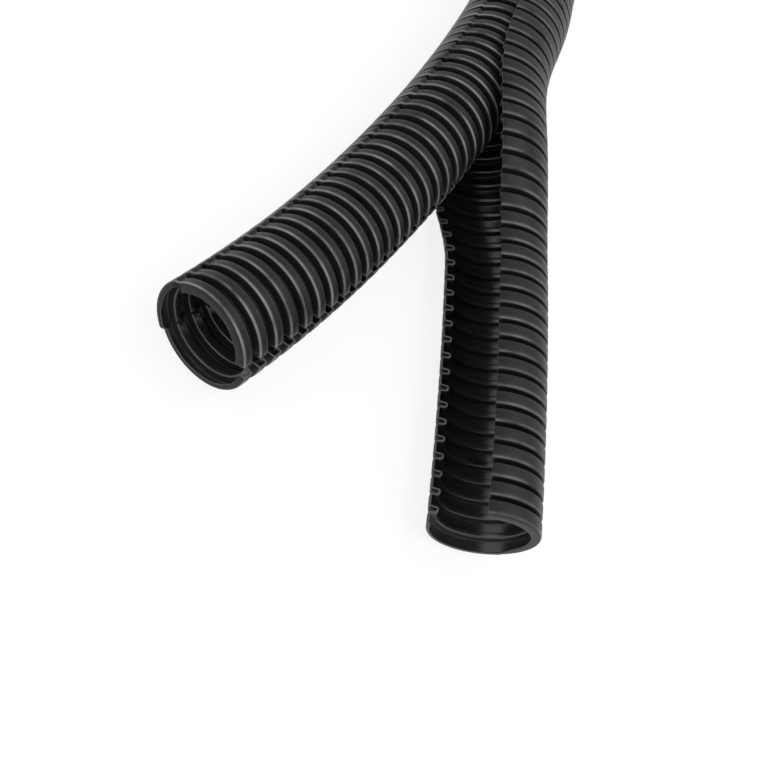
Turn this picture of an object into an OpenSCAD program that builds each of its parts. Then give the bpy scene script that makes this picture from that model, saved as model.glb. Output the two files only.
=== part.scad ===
// Divisible corrugated cable conduit: two nested corrugated shells, closed along most of the length
// and peeled apart at one end. Millimetres, +Z up. The joined tube's axis is the Y axis, and the
// origin is on that axis at the joined end. The opened end points towards -Y.

/* [Stock] */
// Pitches in the inner shell, counted along its axis
inner_pitches = 166; // [70:1:240]
// Pitches in the outer shell, counted along its axis
outer_pitches = 167; // [70:1:240]

/* [Section] */
// Outside diameter over the crowns
outer_d = 35; // [32:0.5:40]
// Distance from one crown to the next
pitch = 6; // [5.2:0.1:7]
// Height of a crown over the groove beside it
wave_depth = 2.6; // [2:0.1:3]
// Wall of either shell at its crowns and grooves
wall = 0.7; // [0.5:0.05:0.9]
// Wall of either shell at the flanks between crown and groove
flank_wall = 0.5; // [0.4:0.05:0.6]
// Width of the outer shell's groove at its floor
groove_w = 1.1; // [0.8:0.05:1.3]
// Chamfer along the edges of each crown that lies at the outside
crown_chamfer = 0.25; // [0.1:0.05:0.4]
// Gap between the nested shells, across the wall
shell_gap = 0.2; // [0.1:0.05:0.4]
// Gap between the nested shells, along the axis
side_gap = 0.1; // [0.05:0.05:0.3]

/* [Lengthwise seams] */
// Width of the inner shell's raised strip, in degrees
strip_angle = 78; // [60:1:90]
// Direction that the raised strip's middle faces, in degrees from +X towards +Z
strip_faces = 182; // [150:1:210]
// Width of the step beside the raised strip, in degrees
step_angle = 3; // [2:0.5:5]
// Gap left between the raised strip and each edge of the outer shell, in degrees
strip_gap = 1; // [0.5:0.5:3]
// Width of the inner shell's slit, in degrees
slit_angle = 2; // [1:0.5:5]
// From the raised strip's upper step round to the slit, in degrees
slit_from_step = 130; // [90:1:170]

/* [Opened end] */
// Pitches of the inner shell that have left the outer one
inner_free = 37; // [20:1:50]
// Pitches of the outer shell past the same place
outer_free = 38; // [20:1:50]
// Inner shell: pitches in its first bend
inner_bend_a = 26; // [10:1:30]
// Inner shell: radius of its first bend
inner_radius_a = 618; // [450:1:1500]
// Inner shell: radius of its last bend
inner_radius_b = 470; // [300:1:1500]
// Outer shell: pitches in its first bend
outer_bend_a = 14; // [8:1:18]
// Outer shell: radius of its first bend
outer_radius_a = 218; // [200:1:600]
// Outer shell: radius of its last bend, which turns back
outer_radius_b = 1210; // [800:10:3000]
// Turn of the inner shell about its own axis at its free end, in degrees
inner_turn = 14; // [0:1:25]
// Turn of the outer shell's upper edge about its own axis, in degrees
outer_turn = 21; // [0:1:30]
// From the middle of the last joined groove back to the parting
parting_back = 1.2; // [0:0.1:3]
// Pitches over which the outer shell starts to open, before the two part
flex_lead = 8; // [4:1:12]
// Extra radius of the outer shell where the inner one leaves it
flex_gain = 4.7; // [4:0.1:6]
// Further turn of the upper edge where the outer shell is open widest, in degrees
flex_turn = 12; // [0:1:20]
// Share of the extra radius by which the open outer shell leans after the inner one
flex_lean = 1.8; // [1:0.1:2]
// Past the parting, where the outer shell's upper edge has made its turn
turn_top = 18; // [10:1:30]
// Past the parting, where the outer shell is open widest
flex_top = 52; // [40:1:60]
// Past the parting, where the outer shell starts to close again
flex_hold = 84; // [80:1:100]
// Length over which the outer shell closes again
flex_off = 46; // [40:1:80]
// Past the parting, where the outer shell starts to lean after the inner one
lean_from = 6; // [0:1:20]
// Length over which the outer shell comes to its full lean
lean_len = 64; // [40:1:80]
// Extra radius that the inner shell springs to as it leaves the outer one
spring = 0.3; // [0.2:0.1:0.4]
// Length over which the inner shell springs open
spring_len = 24; // [20:1:40]
// Before the parting, where the inner shell starts to ride up
ride_from = 27; // [20:1:30]
// Past the parting, where the inner shell has ridden up
ride_top = 17; // [14:1:30]
// Height that the inner shell rides up inside the open outer one
ride_up = 3.5; // [2.5:0.1:4]
// Length over which the inner shell comes down to the floor again
ride_off = 60; // [50:1:80]

/* [Hidden] */
$fn = 64;
black = "#1c1d1f";

outer_r = outer_d / 2;
floor_r = outer_r - wave_depth;                    // groove floor, outer shell and raised strip
nested_r = outer_r - wall - shell_gap;             // crowns under the outer shell
nested_floor_r = floor_r - wall - shell_gap;       // groove floor under the outer shell
nested_groove_w = groove_w + 2 * (flank_wall + side_gap);
foot = 0.1;                                        // how far a wave's foot laps its neighbour
block = 8;                                         // pitches drawn as one run

function ease(t) = t <= 0 ? 0 : t >= 1 ? 1 : t * t * (3 - 2 * t);
// Neighbouring walls either line up or clearly cross
function snap(value, step) = round(value / step) * step;

// ---- Corrugation profiles, as [radius, distance along the axis] ----

// Outside of one crown centred on y, from groove to groove. Only crowns at the outside are chamfered.
function crown_out(y, top, base, width) =
    let (edge = (pitch - width) / 2, cut = crown_chamfer)
    concat([[base, y - edge]],
        top < outer_r ? [[top, y - edge], [top, y + edge]]
            : [[top - cut, y - edge], [top, y - edge + cut], [top, y + edge - cut], [top - cut, y + edge]],
        [[base, y + edge]]);

// Inside of one crown centred on y, from groove to groove
function crown_in(y, top, base, width) =
    let (edge = (pitch - width) / 2 - flank_wall)
    [[base, y - edge], [top, y - edge], [top, y + edge], [base, y + edge]];

function reversed(list) = [for (i = [len(list) - 1:-1:0]) list[i]];

// A straight run of whole crowns, from the middle of one groove to the middle of another. A last run
// stops at its last crown.
module run_profile(count, last, out_top, out_base, out_w, in_top, in_base, in_w) {
    end = count * pitch;
    outside = [for (i = [0:count - 1]) each crown_out((i + 0.5) * pitch, out_top, out_base, out_w)];
    inside = [for (i = [0:count - 1]) each crown_in((i + 0.5) * pitch, in_top, in_base, in_w)];
    lap = in_base - foot;
    polygon(concat([[out_base, 0]], outside,
        last ? [[lap, end - out_w / 2], [lap, end - in_w / 2 - flank_wall]]
            : [[out_base, end], [in_base, end]],
        reversed(inside), [[in_base, 0]]));
}

// One crown and the groove wall before it, whose end is let into the last crown's foot. gain is how
// far the last crown stands out past this one.
module wave_profile(out_top, out_base, out_w, in_top, in_base, in_w, gain) {
    start = -(pitch + max(out_w, in_w) + flank_wall) / 2;
    outside = crown_out(0, out_top, out_base, out_w);
    inside = crown_in(0, in_top, in_base, in_w);
    lap = in_base - foot;
    polygon(concat([[out_base + gain, start]], outside,
        [[lap, -outside[0][1]], [lap, -inside[0][1]], inside[2], inside[1], [lap, inside[0][1]],
         [lap, outside[0][1]], [in_base, outside[0][1]], [in_base + gain, start]]));
}

// ---- The two shells' sections round the axis ----

upper_step = strip_faces - strip_angle / 2;
lower_step = strip_faces + strip_angle / 2;
slit_upper = upper_step - slit_from_step;
slit_lower = slit_upper - slit_angle;
outer_span = 360 - strip_angle - 2 * strip_gap;

module sector(from, to) rotate_extrude(start = from, angle = to - from) children();

// Inner shell: the part between the slit and the upper step
module upper_leaf() sector(slit_upper, upper_step) children();

// Inner shell: all the rest. children(0) is the nested wall, (1) the strip's, (2) a step's. The slit
// is wider by an angle open where the shell has sprung open.
module lower_leaf(open = 0) {
    sector(lower_step - 360, slit_lower - open) children(0);
    sector(upper_step + step_angle, lower_step - step_angle) children(1);
    sector(upper_step, upper_step + step_angle) children(2);
    sector(lower_step - step_angle, lower_step) children(2);
}

// ---- Where each crown lies ----

// One bend of radius r after a distance s: [x, y, heading]
function bend(s, r) = [r * (1 - cos(s / r * 180 / PI)), -r * sin(s / r * 180 / PI), s / r * 180 / PI];
function turned(p, a) = [p[0] * cos(a) - p[1] * sin(a), p[0] * sin(a) + p[1] * cos(a)];

// Two bends in a row, at a distance s past the parting: [x, y, heading]. side is 1 towards +X, and
// back is -1 where the second bend turns the other way.
function route(s, side, len_a, r_a, r_b, back) =
    let (a = bend(min(s, len_a), r_a))
    let (b = bend(max(s - len_a, 0), r_b))
    let (t = turned([back * b[0], b[1]], a[2]))
    s <= 0 ? [0, -s, 0] : [side * (a[0] + t[0]), a[1] + t[1], side * (a[2] + back * b[2])];

// The two shells' axes, at a distance s past the last joined groove
function inner_route(s) =
    route(s + parting_back, -1, inner_bend_a * pitch, inner_radius_a, inner_radius_b, 1);
function outer_route(s) =
    route(s + parting_back, 1, outer_bend_a * pitch, outer_radius_a, outer_radius_b, -1);

joined = inner_pitches - inner_free;               // whole pitches before the parting
parting_y = parting_back - joined * pitch;
straight = joined - flex_lead;                     // of those, pitches that lie quite closed
lead_len = flex_lead * pitch;

// The inner shell springs open a little once it is free, and its slit widens as much
function inner_gain(s) = snap(spring * ease((s + lead_len) / spring_len), 0.02);
function inner_open(s) = snap((360 - slit_angle) * inner_gain(s) / (nested_r + inner_gain(s)), 0.1);

// It lifts clear of the outer one's grooves before the two part, passes over the lower edge and
// comes down to lie on its own crowns
function inner_lift(s) = inner_gain(s)
    + snap(ride_up * min(max((s + ride_from) / (ride_from + ride_top), 0), 1)
        - (ride_up + outer_r - nested_r) * ease((s - flex_hold) / ride_off), 0.02);
function inner_twist(s) = snap(inner_turn * ease(s / (inner_free * pitch)), 0.1);

// The outer shell opens where the inner one leaves it: its wall keeps its length, so a larger
// radius is a wider opening
function flex(s) = ease((s + lead_len) / (lead_len + flex_top)) - ease((s - flex_hold) / flex_off);
function outer_gain(s) = snap(flex_gain * flex(s), 0.02);
function outer_edge(s) = upper_step - strip_gap
    - snap(outer_turn * ease((s + lead_len) / (lead_len + turn_top)) + flex_turn * flex(s), 0.1);
function outer_cover(s) = snap(outer_span * outer_r / (outer_r + outer_gain(s)), 0.1);
function outer_lean(s) = snap(flex_lean * outer_gain(s) * ease((s - lean_from) / lean_len), 0.02);

// ---- Sub-parts ----

module inner_run(count, last) {
    module nested() run_profile(count, last, nested_r, nested_floor_r, nested_groove_w,
        nested_r - wall, nested_floor_r - wall, nested_groove_w);
    upper_leaf() nested();
    lower_leaf() {
        nested();
        run_profile(count, last, outer_r, floor_r, groove_w, outer_r - wall, floor_r - wall, groove_w);
        run_profile(count, last, outer_r, floor_r, groove_w,
            nested_r - wall, nested_floor_r - wall, nested_groove_w);
    }
}

module inner_place(s) {
    at = inner_route(s);
    translate([at[0], at[1] + parting_y, inner_lift(s)])
        rotate([0, 0, at[2]]) rotate([90, 0, 0]) rotate([0, 0, inner_twist(s)])
            children();
}

module inner_wave(i) {
    s = (i + 0.5) * pitch;
    g = inner_gain(s);
    // a wall that is nested or at the outside, on its outer and on its inner face
    module wave(out_top, out_base, out_w, in_top, in_base, in_w)
        wave_profile(out_top + g, out_base + g, out_w, in_top + g - wall, in_base + g - wall, in_w,
            inner_gain(s - pitch) - g);
    module nested() wave(nested_r, nested_floor_r, nested_groove_w,
        nested_r, nested_floor_r, nested_groove_w);
    inner_place(s) {
        upper_leaf() nested();
        lower_leaf(inner_open(s)) {
            nested();
            wave(outer_r, floor_r, groove_w, outer_r, floor_r, groove_w);
            wave(outer_r, floor_r, groove_w, nested_r, nested_floor_r, nested_groove_w);
        }
    }
}

module inner_conduit() color(black) {
    // closed stretch, in blocks of a few pitches
    union() for (i = [0:block:straight - 1])
        translate([0, -i * pitch, 0]) rotate([90, 0, 0])
            inner_run(min(block, straight - i), i + block >= straight);
    // opened end, crown by crown
    for (i = [-flex_lead:block:inner_free - 1])
        union() for (k = [i:min(i + block, inner_free) - 1]) inner_wave(k);
}

module outer_place(s) {
    at = outer_route(s);
    gain = outer_gain(s);
    lean = outer_lean(s);
    translate([at[0] - lean * cos(at[2]), at[1] + parting_y - lean * sin(at[2]), gain])
        rotate([0, 0, at[2]]) rotate([90, 0, 0])
            sector(outer_edge(s) - outer_cover(s), outer_edge(s)) children();
}

module outer_wave(i) {
    s = (i + 0.5) * pitch;
    r = outer_r + outer_gain(s);
    outer_place(s) wave_profile(r, r - wave_depth, groove_w, r - wall, r - wave_depth - wall, groove_w,
        outer_gain(s - pitch) - outer_gain(s));
}

module outer_conduit() color(black) {
    union() for (i = [0:block:straight - 1])
        translate([0, -i * pitch, 0]) rotate([90, 0, 0])
            sector(upper_step - strip_gap - outer_span, upper_step - strip_gap)
                run_profile(min(block, straight - i), i + block >= straight, outer_r, floor_r,
                    groove_w, outer_r - wall, floor_r - wall, groove_w);
    for (i = [-flex_lead:block:outer_free - 1])
        union() for (k = [i:min(i + block, outer_free) - 1]) outer_wave(k);
}

inner_conduit();
outer_conduit();
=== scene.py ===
import bpy
import bmesh
from math import cos, floor, radians, sin
from mathutils import Matrix, Vector


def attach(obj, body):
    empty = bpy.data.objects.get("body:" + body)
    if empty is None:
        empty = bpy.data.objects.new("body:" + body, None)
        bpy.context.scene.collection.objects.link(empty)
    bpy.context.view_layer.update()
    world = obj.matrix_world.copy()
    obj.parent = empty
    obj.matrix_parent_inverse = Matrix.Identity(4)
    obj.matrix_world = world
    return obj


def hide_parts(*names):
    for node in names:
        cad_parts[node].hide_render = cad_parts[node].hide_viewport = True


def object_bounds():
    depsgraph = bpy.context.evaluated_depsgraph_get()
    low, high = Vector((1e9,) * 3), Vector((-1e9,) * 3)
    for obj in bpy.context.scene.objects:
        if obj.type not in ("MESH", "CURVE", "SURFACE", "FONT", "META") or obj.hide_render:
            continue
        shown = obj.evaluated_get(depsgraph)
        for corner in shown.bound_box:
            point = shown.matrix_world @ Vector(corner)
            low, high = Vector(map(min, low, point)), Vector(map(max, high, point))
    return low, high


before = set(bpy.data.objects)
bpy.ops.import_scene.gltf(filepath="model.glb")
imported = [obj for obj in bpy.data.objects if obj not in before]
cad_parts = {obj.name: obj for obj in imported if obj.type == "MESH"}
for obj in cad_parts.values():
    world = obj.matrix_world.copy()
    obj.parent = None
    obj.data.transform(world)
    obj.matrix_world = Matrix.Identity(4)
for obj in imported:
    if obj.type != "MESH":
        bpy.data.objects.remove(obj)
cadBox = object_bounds()

# Sizes are in millimetres and angles in degrees until a point is placed.
stock = {
    "outerRadius": 17.5,
    "pitch": 6.0,
    "depth": 2.6,
    "wall": 0.7,
    "skin": 0.6,
    "groove": 1.1,
    "nestedGroove": 2.3,
    "shellGap": 0.2,
    "cornerRound": 0.4,
    "cornerPart": 0.3,  # how far in the round's middle point lies, as a share of the round
    "inside": 0.02,
    "flankLean": 0.1,
    "stripAngle": 78.0,
    "stripFaces": 182.0,
    "stepAngle": 3.0,
    "stripGap": 1.0,
    "slitFromStep": 130.0,
    "slitAngle": 2.0,
    "cutStep": 3.0,  # degrees between changes of the cut's depth
    "cutLeast": 0.1,  # the cut stays at least this far below the crown's round
}
opening = {
    "joined": 129,
    "back": 1.2,
    "lead": 8,
    "turnTop": 18.0,
    "flexTop": 52.0,
    "flexHold": 84.0,
    "flexOff": 46.0,
}
innerShell = {
    "slot": "inner_shell",
    "free": 37,
    "side": -1,
    "firstBend": 156.0,
    "radiusA": 618.0,
    "radiusB": 470.0,
    "back": 1,
    "turn": 14.0,
    "spring": 0.3,
    "springLength": 24.0,
    "rideUp": 3.5,
    "rideFrom": 27.0,
    "rideTop": 17.0,
    "rideOff": 60.0,
    "tuck": 1.2,
    "tuckLength": 30.0,
    "tuckAngle": 100.0,
    "gape": 4.0,
    "gapeLength": 120.0,
    "leafCut": 1.0,
    "backCut": 0.62,
    "paintedHighlight": {1: 0.96, -1: 0.6},  # painted highlight: how pale the crowns' near and far corners are
    "cutWander": 0.12,
}
outerShell = {
    "slot": "outer_shell",
    "free": 38,
    "side": 1,
    "firstBend": 84.0,
    "radiusA": 218.0,
    "radiusB": 1210.0,
    "back": -1,
    "turn": 21.0,
    "gain": 4.7,
    "gainTurn": 12.0,
    "lean": 1.8,
    "leanFrom": 6.0,
    "leanLength": 64.0,
    "edgeWander": 0.5,
    "edgeParts": 12,  # each edge wanders over one of this many parts of the cover
    "thinCutTo": 0.4,
    "thinCutFade": 0.12,
    # Painted highlight: how pale the crowns' near and far corners are
    "paintedHighlight": {1: 0.85, -1: 0.5},
    "cutWander": 0.05,
}

nestedRadius = stock["outerRadius"] - stock["wall"] - stock["shellGap"]
upperStep = stock["stripFaces"] - stock["stripAngle"] / 2
lowerStep = stock["stripFaces"] + stock["stripAngle"] / 2
slitUpper = upperStep - stock["slitFromStep"]
shellTurn = 360 - stock["slitAngle"]
slitLower = slitUpper + shellTurn
outerSpan = 360 - stock["stripAngle"] - 2 * stock["stripGap"]
leadLength = opening["lead"] * stock["pitch"]
partingY = opening["back"] - opening["joined"] * stock["pitch"]


def ease(t):
    t = min(max(t, 0.0), 1.0)
    return t * t * (3 - 2 * t)


# The usual factors of a sine hash, so that neighbours get unlike values
scatter = {"index": 12.9898, "seed": 78.233, "sine": 43758.5453}
seeds = {"upperEdge": 1, "lowerEdge": 2, "cut": 5}


# A fixed, even spread between -1 and 1
def wander(index, seed):
    x = sin(index * scatter["index"] + seeds[seed] * scatter["seed"]) * scatter["sine"]
    return 2 * (x - floor(x)) - 1


def bendAt(s, radius):
    a = s / radius
    return radius * (1 - cos(a)), -radius * sin(a), a


# Plan position and heading, s past the last joined groove
def routeAt(s, shell):
    s += opening["back"]
    if s <= 0:
        return 0.0, -s, 0.0
    ax, ay, aTurn = bendAt(min(s, shell["firstBend"]), shell["radiusA"])
    bx, by, bTurn = bendAt(max(s - shell["firstBend"], 0.0), shell["radiusB"])
    bx *= shell["back"]
    x = ax + bx * cos(aTurn) - by * sin(aTurn)
    y = ay + bx * sin(aTurn) + by * cos(aTurn)
    return shell["side"] * x, y, shell["side"] * (aTurn + shell["back"] * bTurn)


def ringPoint(s, shell, radius, degrees, lean, lift):
    x, y, heading = routeAt(s, shell)
    across = radius * cos(radians(degrees)) - lean
    up = radius * sin(radians(degrees)) + lift
    return Vector((x + across * cos(heading), y + partingY + across * sin(heading), up)) * 0.001


def innerGain(s):
    return innerShell["spring"] * ease((s + leadLength) / innerShell["springLength"])


def innerLift(s):
    drop = innerShell["rideUp"] + stock["outerRadius"] - nestedRadius
    ridden = (s + innerShell["rideFrom"]) / (innerShell["rideFrom"] + innerShell["rideTop"])
    up = innerShell["rideUp"] * min(max(ridden, 0.0), 1.0)
    return innerGain(s) + up - drop * ease((s - opening["flexHold"]) / innerShell["rideOff"])


def flexAt(s):
    rise = ease((s + leadLength) / (leadLength + opening["flexTop"]))
    return rise - ease((s - opening["flexHold"]) / opening["flexOff"])


# One point of the corrugation: distance from the groove's middle, and radius
def profileAt(step, halfGroove, low, high):
    r = stock["cornerRound"]
    lean = stock["flankLean"]
    part = stock["cornerPart"]
    at = halfGroove - lean
    to = halfGroove + lean
    return [
        (0.0, low),
        (at - r, low),
        (at - part * r, low + part * r),
        (at, low + r),
        (to, high - r),
        (to + part * r, high - part * r),
        (to + r, high),
        (stock["pitch"] / 2, high),
    ][step]


# (crown, side, step) along the tube, from one groove's middle to another
def stations(first, last, steps):
    out = [(first, -1, 0)]
    for crown in range(first, last):
        out += [(crown, -1, step) for step in steps if step > 0]
        out += [(crown, 1, step) for step in reversed(steps) if 0 < step < 7]
        if steps[0] == 0:
            out.append((crown + 1, -1, 0))
    if steps[0] != 0:
        out.append((last, -1, 0))
    return out


# The tube is cut off along the far flank of its last crown
def atCut(station, shell):
    return station == (shell["free"] - 1, 1, 3)


# At the cut the wall ends this far down the flank: depth 0 near the crown, 1 at the groove
def cutRadius(station, degrees, shell, radius, high, depth):
    if not atCut(station, shell):
        return radius
    most = stock["depth"] + stock["skin"] / 2
    rough = shell["cutWander"] * (1 + wander(round(degrees / stock["cutStep"]), "cut"))
    return high - max(most * depth - rough, stock["cornerRound"] + stock["cutLeast"])


# 1 on the raised strip, 0 on the nested wall
def stripShare(degrees):
    rise = ease((degrees - upperStep) / stock["stepAngle"])
    return rise - ease((degrees - lowerStep + stock["stepAngle"]) / stock["stepAngle"])


def innerPoint(station, degrees):
    crown, side, step = station
    raised = stripShare(degrees)
    half = stock["skin"] / 2
    high = nestedRadius + raised * (stock["outerRadius"] - nestedRadius) - half - stock["inside"]
    low = high - stock["depth"]
    groove = stock["nestedGroove"] + raised * (stock["groove"] - stock["nestedGroove"])
    off, radius = profileAt(step, groove / 2 + half, low, high)
    depth = innerShell["leafCut"] if degrees <= upperStep else innerShell["backCut"]
    radius = cutRadius(station, degrees, innerShell, radius, high, depth)
    s = (crown + 0.5 + side * 0.5) * stock["pitch"] - side * off
    gain = innerGain(s)
    if degrees > lowerStep:
        gape = shellTurn * gain / (nestedRadius + gain)
        gape += innerShell["gape"] * ease(s / innerShell["gapeLength"])
        degrees -= gape * (degrees - lowerStep) / (slitLower - lowerStep)
    tucked = ease((s - innerShell["free"] * stock["pitch"]) / innerShell["tuckLength"] + 1)
    nearSlit = ease(1 - (degrees - slitUpper) / innerShell["tuckAngle"])
    radius += gain - innerShell["tuck"] * tucked * nearSlit
    turn = innerShell["turn"] * ease(s / (innerShell["free"] * stock["pitch"]))
    return ringPoint(s, innerShell, radius, degrees + turn, 0.0, innerLift(s))


def outerPoint(station, degrees):
    share = degrees / outerSpan
    crown, side, step = station
    half = stock["skin"] / 2
    high = stock["outerRadius"] - half - stock["inside"]
    low = high - stock["depth"]
    off, radius = profileAt(step, stock["groove"] / 2 + half, low, high)
    depth = ease((share - outerShell["thinCutTo"]) / outerShell["thinCutFade"])
    radius = cutRadius(station, degrees, outerShell, radius, high, depth)
    s = (crown + 0.5 + side * 0.5) * stock["pitch"] - side * off
    flex = flexAt(s)
    gain = outerShell["gain"] * flex
    lean = outerShell["lean"] * gain * ease((s - outerShell["leanFrom"]) / outerShell["leanLength"])
    turn = outerShell["turn"] * ease((s + leadLength) / (leadLength + opening["turnTop"]))
    edge = upperStep - stock["stripGap"] - turn - outerShell["gainTurn"] * flex
    cover = outerSpan * stock["outerRadius"] / (stock["outerRadius"] + gain)
    ragged = outerShell["edgeWander"] * ease((s + leadLength) / leadLength)
    parts = outerShell["edgeParts"]
    edge += ragged * wander(crown, "upperEdge") * ease(share * parts - (parts - 1))
    cover += ragged * wander(crown, "lowerEdge") * ease(1 - share * parts)
    return ringPoint(s, outerShell, radius + gain, edge - cover * (1 - share), lean, gain)


def spread(start, end, widest):
    count = max(1, round((end - start) / widest))
    return [start + (end - start) * i / count for i in range(count)]


def innerColumns(widest):
    stepEnd = upperStep + stock["stepAngle"]
    stepStart = lowerStep - stock["stepAngle"]
    out = spread(slitUpper, upperStep, widest)
    out += spread(upperStep, stepEnd, 1.0) + spread(stepEnd, stepStart, widest)
    out += spread(stepStart, lowerStep, 1.0) + spread(lowerStep, slitLower, widest)
    return out + [slitLower]


def outerColumns(widest):
    return spread(0.0, outerSpan, widest) + [outerSpan]


# A sheet of the shell: one column per place round it, one row per station along it
def shellGrid(columns, rows, place, shell):
    bm = bmesh.new()
    cut = next((j for j, row in enumerate(rows) if atCut(row, shell)), len(rows))
    rows = rows[:cut + 1]
    wide, long = len(columns) - 1, len(rows) - 1
    bmesh.ops.create_grid(bm, x_segments=wide, y_segments=long, size=1.0)
    around = bm.loops.layers.uv.new("around")
    corner = bm.verts.layers.float.new("corner")
    cell = {
        v: (round((v.co.x + 1) / 2 * wide), round((v.co.y + 1) / 2 * long))
        for v in bm.verts
    }
    for face in bm.faces:
        for loop in face.loops:
            i, j = cell[loop.vert]
            crown, side, step = rows[j]
            off = profileAt(step, (stock["groove"] + stock["skin"]) / 2, 0.0, stock["depth"])[0]
            along = (crown + 0.5 + side * 0.5) * stock["pitch"] - side * off
            loop[around].uv = (radians(columns[i]) * stock["outerRadius"], along)
    for v in bm.verts:
        i, j = cell[v]
        v.co = place(rows[j], columns[i])
        crown, side, step = rows[j]
        # Painted highlight: the crowns' rounded corners get a share of a pale colour, a different
        # share on each side of the crown
        v[corner] = shell["paintedHighlight"][side] if step in (5, 6) else 0.0
    bm.normal_update()
    return bm


# Applies the object's modifiers to its mesh
def applied(obj):
    graph = bpy.context.evaluated_depsgraph_get()
    mesh = bpy.data.meshes.new_from_object(obj.evaluated_get(graph), depsgraph=graph)
    obj.modifiers.clear()
    obj.data = mesh


def shellPiece(name, bm, node, materials):
    mesh = bpy.data.meshes.new(name)
    for face in bm.faces:
        face.smooth = True
    bm.to_mesh(mesh)
    bm.free()
    for material in materials:
        mesh.materials.append(material)
    obj = bpy.data.objects.new(name, mesh)
    bpy.context.scene.collection.objects.link(obj)
    solid = obj.modifiers.new("skin", "SOLIDIFY")
    solid.thickness = stock["skin"] * 0.001
    solid.offset = 0
    solid.use_even_offset = True
    solid.use_rim = True
    solid.material_offset = 1
    solid.material_offset_rim = 2
    normals = obj.modifiers.new("normals", "WEIGHTED_NORMAL")
    normals.weight = 60
    applied(obj)
    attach(obj, "root")
    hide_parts(node)
    print(name, len(obj.data.polygons), "faces")


def linear(hexColour):
    parts = [int(hexColour[i:i + 2], 16) / 255 for i in (1, 3, 5)]
    return tuple(p / 12.92 if p <= 0.04045 else ((p + 0.055) / 1.055) ** 2.4 for p in parts) + (1.0,)


def addNode(tree, kind, values=None, links=None, **settings):
    node = tree.nodes.new(kind)
    for key, value in settings.items():
        setattr(node, key, value)
    for key, value in (values or {}).items():
        node.inputs[key].default_value = value
    for key, socket in (links or {}).items():
        tree.links.new(socket, node.inputs[key])
    return node


# Extruded polypropylene: fine lines round the tube from the forming blocks, a faint grain, and a
# painted highlight along the crowns' corners
def plastic(name, look):
    material = bpy.data.materials.new(name)
    material.use_nodes = True
    tree = material.node_tree
    tree.nodes.clear()
    around = addNode(tree, "ShaderNodeUVMap", uv_map="around")
    drawn = addNode(
        tree, "ShaderNodeMapping", {"Scale": (look["breaksPerMm"], look["linesPerMm"], 1.0)},
        {"Vector": around.outputs["UV"]})
    lines = addNode(
        tree, "ShaderNodeTexNoise", {"Scale": 1.0, "Detail": 5.0, "Roughness": 0.65},
        {"Vector": drawn.outputs["Vector"]})
    place = addNode(tree, "ShaderNodeTexCoord")
    cloud = addNode(
        tree, "ShaderNodeTexNoise", {"Scale": look["cloudsPerM"], "Detail": 4.0},
        {"Vector": place.outputs["Object"]})
    grain = addNode(
        tree, "ShaderNodeTexNoise", {"Scale": look["grainsPerM"], "Detail": 2.0},
        {"Vector": place.outputs["Object"]})
    mixed = addNode(
        tree, "ShaderNodeMath", {1: 0.5}, {0: cloud.outputs["Fac"]}, operation="MULTIPLY")
    mixed = addNode(
        tree, "ShaderNodeMath", {1: 0.5}, {0: lines.outputs["Fac"], 2: mixed.outputs[0]},
        operation="MULTIPLY_ADD")
    streaked = addNode(
        tree, "ShaderNodeMapRange", {"From Min": look["streaks"][0], "From Max": look["streaks"][1]},
        {"Value": mixed.outputs[0]})
    tone = addNode(
        tree, "ShaderNodeMix", {6: linear(look["dark"]), 7: linear(look["light"])},
        {0: streaked.outputs["Result"]}, data_type="RGBA")
    rough = addNode(
        tree, "ShaderNodeMapRange",
        {"From Min": 0.3, "From Max": 0.7,
         "To Min": look["roughness"][0], "To Max": look["roughness"][1]},
        {"Value": mixed.outputs[0]})
    ridged = addNode(
        tree, "ShaderNodeBump",
        {"Strength": look["lineStrength"], "Distance": look["lineHeight"] * 0.001},
        {"Height": lines.outputs["Fac"]})
    grained = addNode(
        tree, "ShaderNodeBump",
        {"Strength": look["grainStrength"], "Distance": look["grainHeight"] * 0.001},
        {"Height": grain.outputs["Fac"], "Normal": ridged.outputs["Normal"]})
    # Painted highlight: a pale colour mixed in along the crowns' corners, in patches, standing in
    # for light caught by the rounded edges
    corner = addNode(tree, "ShaderNodeAttribute", attribute_name="corner")
    narrow = addNode(
        tree, "ShaderNodeMath", {1: look["cornerPower"]}, {0: corner.outputs["Fac"]},
        operation="POWER")
    patchyHighlight = addNode(
        tree, "ShaderNodeMapRange",
        {"From Min": 0.35, "From Max": 0.6, "To Min": 0.15, "To Max": look["paintedHighlight"]},
        {"Value": cloud.outputs["Fac"]})
    highlightAmount = addNode(
        tree, "ShaderNodeMath", None, {0: narrow.outputs[0], 1: patchyHighlight.outputs["Result"]},
        operation="MULTIPLY")
    tone = addNode(
        tree, "ShaderNodeMix", {7: linear(look["highlightTone"])},
        {0: highlightAmount.outputs[0], 6: tone.outputs[2]}, data_type="RGBA")
    shader = addNode(
        tree, "ShaderNodeBsdfPrincipled", {"IOR": 1.49, "Specular IOR Level": look["specular"]},
        {"Base Color": tone.outputs[2], "Roughness": rough.outputs["Result"],
         "Normal": grained.outputs["Normal"]})
    addNode(tree, "ShaderNodeOutputMaterial", None, {"Surface": shader.outputs["BSDF"]})
    return material


outsideLook = {
    "dark": "#020203",
    "light": "#1a1b1c",
    # The pale colour and strength of the painted highlight on the crowns' corners
    "highlightTone": "#808183",
    "paintedHighlight": 0.9,
    "roughness": (0.3, 0.46),
    "linesPerMm": 1.6,  # coarser than the real ones, so that they show
    "breaksPerMm": 0.03,  # how often a line fades out on its way round
    "streaks": (0.34, 0.44),
    "cloudsPerM": 90.0,
    "lineStrength": 0.8,
    "lineHeight": 0.12,
    "grainsPerM": 2600.0,
    "grainHeight": 0.02,
    "grainStrength": 0.25,
    "cornerPower": 5.0,  # keeps the painted highlight line to the corner itself
    "specular": 0.16,
}
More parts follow.
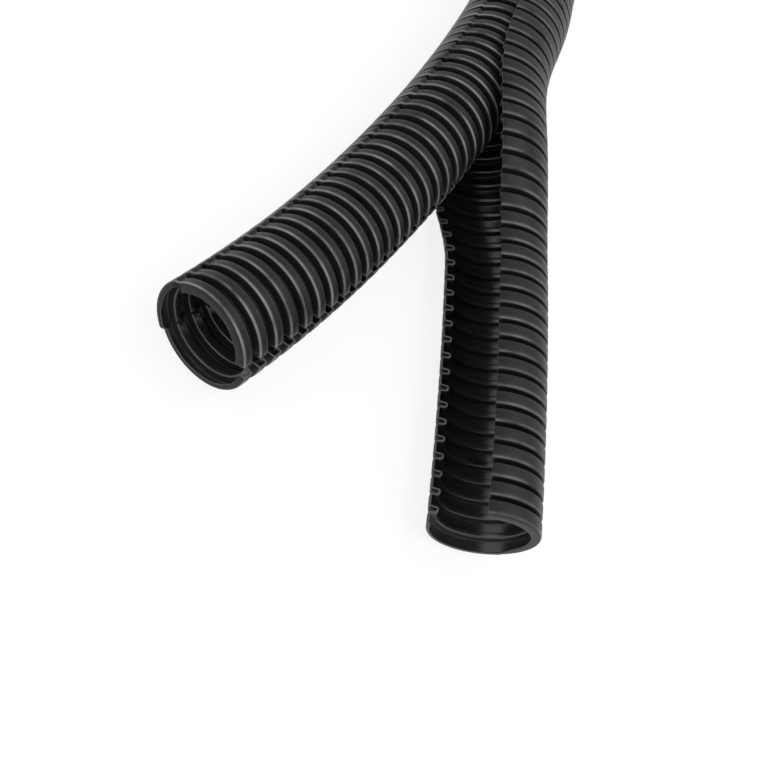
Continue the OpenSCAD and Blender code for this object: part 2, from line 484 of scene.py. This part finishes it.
# The inside doesn't touch the forming blocks, so it is smoother and shines where light comes in. Its
# base tones are lighter than the outside's: painted light for the shaded inside of the tube
insideLook = dict(
    outsideLook, dark="#161618", light="#232325", paintedHighlight=0.0, roughness=(0.16, 0.28),
    lineStrength=0.25, specular=0.65)
# The knife leaves a paler, duller edge
cutLook = dict(
    outsideLook, dark="#38393c", light="#56575a", paintedHighlight=0.0, roughness=(0.5, 0.66),
    lineStrength=0.2)

materials = [
    plastic("polypropylene_moulded_outside", outsideLook),
    plastic("polypropylene_moulded_inside", insideLook),
    plastic("polypropylene_cut_edge", cutLook),
]

# The opened stretch has more steps to a crown and more columns round it
detail = {
    "nearFrom": -2,
    "aroundNear": 4.4,
    "aroundFar": 11.5,
    "fineSteps": [0, 1, 2, 3, 4, 5, 6, 7],
    "plainSteps": [1, 3, 4, 6],
}


def shellPieces(label, shell, node, columnsFor, place):
    columns = columnsFor(detail["aroundFar"])
    rows = stations(-opening["joined"], detail["nearFrom"], detail["plainSteps"])
    shellPiece(label + "_joined", shellGrid(columns, rows, place, shell), node, materials)
    columns = columnsFor(detail["aroundNear"])
    rows = stations(detail["nearFrom"], shell["free"], detail["fineSteps"])
    shellPiece(label + "_opened", shellGrid(columns, rows, place, shell), node, materials)


shellPieces("inner_shell", innerShell, "inner_conduit", innerColumns, innerPoint)
shellPieces("outer_shell", outerShell, "outer_conduit", outerColumns, outerPoint)

ground = {"halfWidth": 6.0, "below": 0.0001, "colour": "#f4f4f4", "roughness": 0.9, "glow": 0.85}
floorMesh = bpy.data.meshes.new("floor")
bm = bmesh.new()
bmesh.ops.create_grid(bm, x_segments=1, y_segments=1, size=ground["halfWidth"])
bmesh.ops.translate(bm, verts=bm.verts[:], vec=(0, 0, cadBox[0].z - ground["below"]))
bm.to_mesh(floorMesh)
bm.free()
floorPlane = bpy.data.objects.new("floor", floorMesh)
bpy.context.scene.collection.objects.link(floorPlane)
paper = bpy.data.materials.new("white_paper")
paper.use_nodes = True
tree = paper.node_tree
matt = tree.nodes["Principled BSDF"]
matt.inputs["Base Color"].default_value = linear(ground["colour"])
matt.inputs["Roughness"].default_value = ground["roughness"]
path = addNode(tree, "ShaderNodeLightPath")
seen = addNode(
    tree, "ShaderNodeMath", None,
    {0: path.outputs["Is Camera Ray"], 1: path.outputs["Is Glossy Ray"]}, operation="MAXIMUM")
seen = addNode(
    tree, "ShaderNodeMath", None,
    {0: seen.outputs[0], 1: path.outputs["Is Transmission Ray"]}, operation="MAXIMUM")
share = addNode(
    tree, "ShaderNodeMath", {1: ground["glow"]}, {0: seen.outputs[0]}, operation="MULTIPLY")
glow = addNode(tree, "ShaderNodeEmission", {"Color": (1, 1, 1, 1), "Strength": 1.0})
both = addNode(tree, "ShaderNodeMixShader")
tree.links.new(share.outputs[0], both.inputs[0])
tree.links.new(matt.outputs[0], both.inputs[1])
tree.links.new(glow.outputs[0], both.inputs[2])
tree.links.new(both.outputs[0], tree.nodes["Material Output"].inputs["Surface"])
floorMesh.materials.append(paper)

world = bpy.data.worlds.new("studio")
world.use_nodes = True
world.node_tree.nodes["Background"].inputs["Color"].default_value = (1, 1, 1, 1)
world.node_tree.nodes["Background"].inputs["Strength"].default_value = 1.0
bpy.context.scene.world = world

lamps = {
    "key": {"at": (0.35, -0.75, 1.1), "aim": (0.0, -0.9, 0.0), "size": 0.9, "power": 5.0},
    "fill": {"at": (-0.9, -1.5, 0.8), "aim": (0.0, -0.9, 0.0), "size": 1.0, "power": 2.0},
}
for name, lamp in lamps.items():
    light = bpy.data.lights.new(name, "AREA")
    light.shape = "DISK"
    light.size = lamp["size"]
    light.energy = lamp["power"]
    obj = bpy.data.objects.new(name, light)
    obj.location = lamp["at"]
    obj.rotation_mode = "QUATERNION"
    obj.rotation_quaternion = (Vector(lamp["aim"]) - Vector(lamp["at"])).to_track_quat("-Z", "Y")
    bpy.context.scene.collection.objects.link(obj)

view = {
    "at": (-0.0786, -1.1525, 0.2591),
    "right": (0.78426, 0.33767, 0.52049),
    "up": (-0.55469, 0.75745, 0.34439),
    "back": (-0.27796, -0.55880, 0.78133),
    "lens": 51.56,
    "sensor": 36.0,
    "clip": (0.01, 50.0),
}
cameraData = bpy.data.cameras.new("camera")
cameraData.lens = view["lens"]
cameraData.sensor_width = view["sensor"]
cameraData.clip_start, cameraData.clip_end = view["clip"]
camera = bpy.data.objects.new("camera", cameraData)
bpy.context.scene.collection.objects.link(camera)
facing = Matrix((view["right"], view["up"], view["back"])).transposed().to_4x4()
camera.matrix_world = Matrix.Translation(view["at"]) @ facing
bpy.context.scene.camera = camera
bpy.context.scene.view_settings.view_transform = "Standard"
